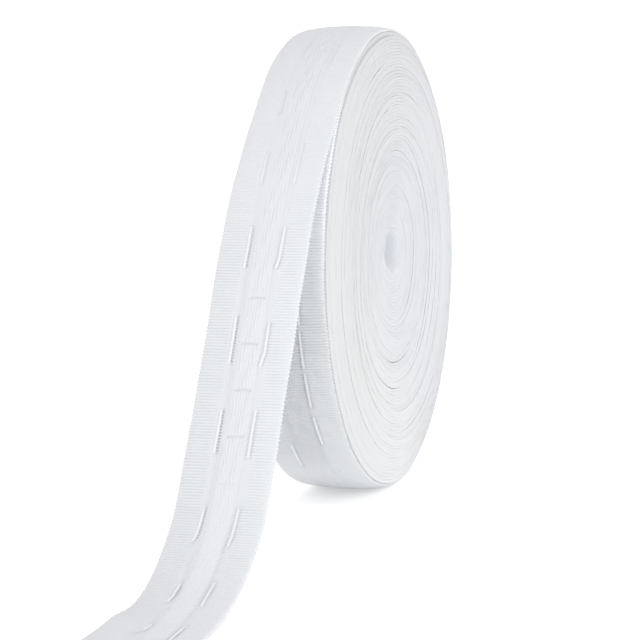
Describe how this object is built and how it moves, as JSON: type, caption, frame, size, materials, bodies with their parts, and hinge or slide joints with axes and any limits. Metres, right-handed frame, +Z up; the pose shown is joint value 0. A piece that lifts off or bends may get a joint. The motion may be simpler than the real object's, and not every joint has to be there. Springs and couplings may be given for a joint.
{
  "type": "roll of curtain heading tape",
  "caption": "Wound roll of narrow white woven curtain heading tape with draw cords, standing on its edge, its loose end running down and out flat.",
  "frame": {"origin": "middle of the flat spot on which the roll stands", "axes": "+X along the roll's axis towards its shown face, -Y the way the loose end runs, +Z up"},
  "size_m": [0.0287, 0.2838, 0.1386],
  "materials": {
    "woven_tape": "matt white woven polyester with fine cross ribs",
    "draw_cord": "white twisted cord with a slight sheen"
  },
  "bodies": {
    "root": {"tape_roll": "woven_tape", "loose_end": "woven_tape", "draw_cord_left": "draw_cord", "draw_cord_right": "draw_cord"}
  },
  "joints": []
}
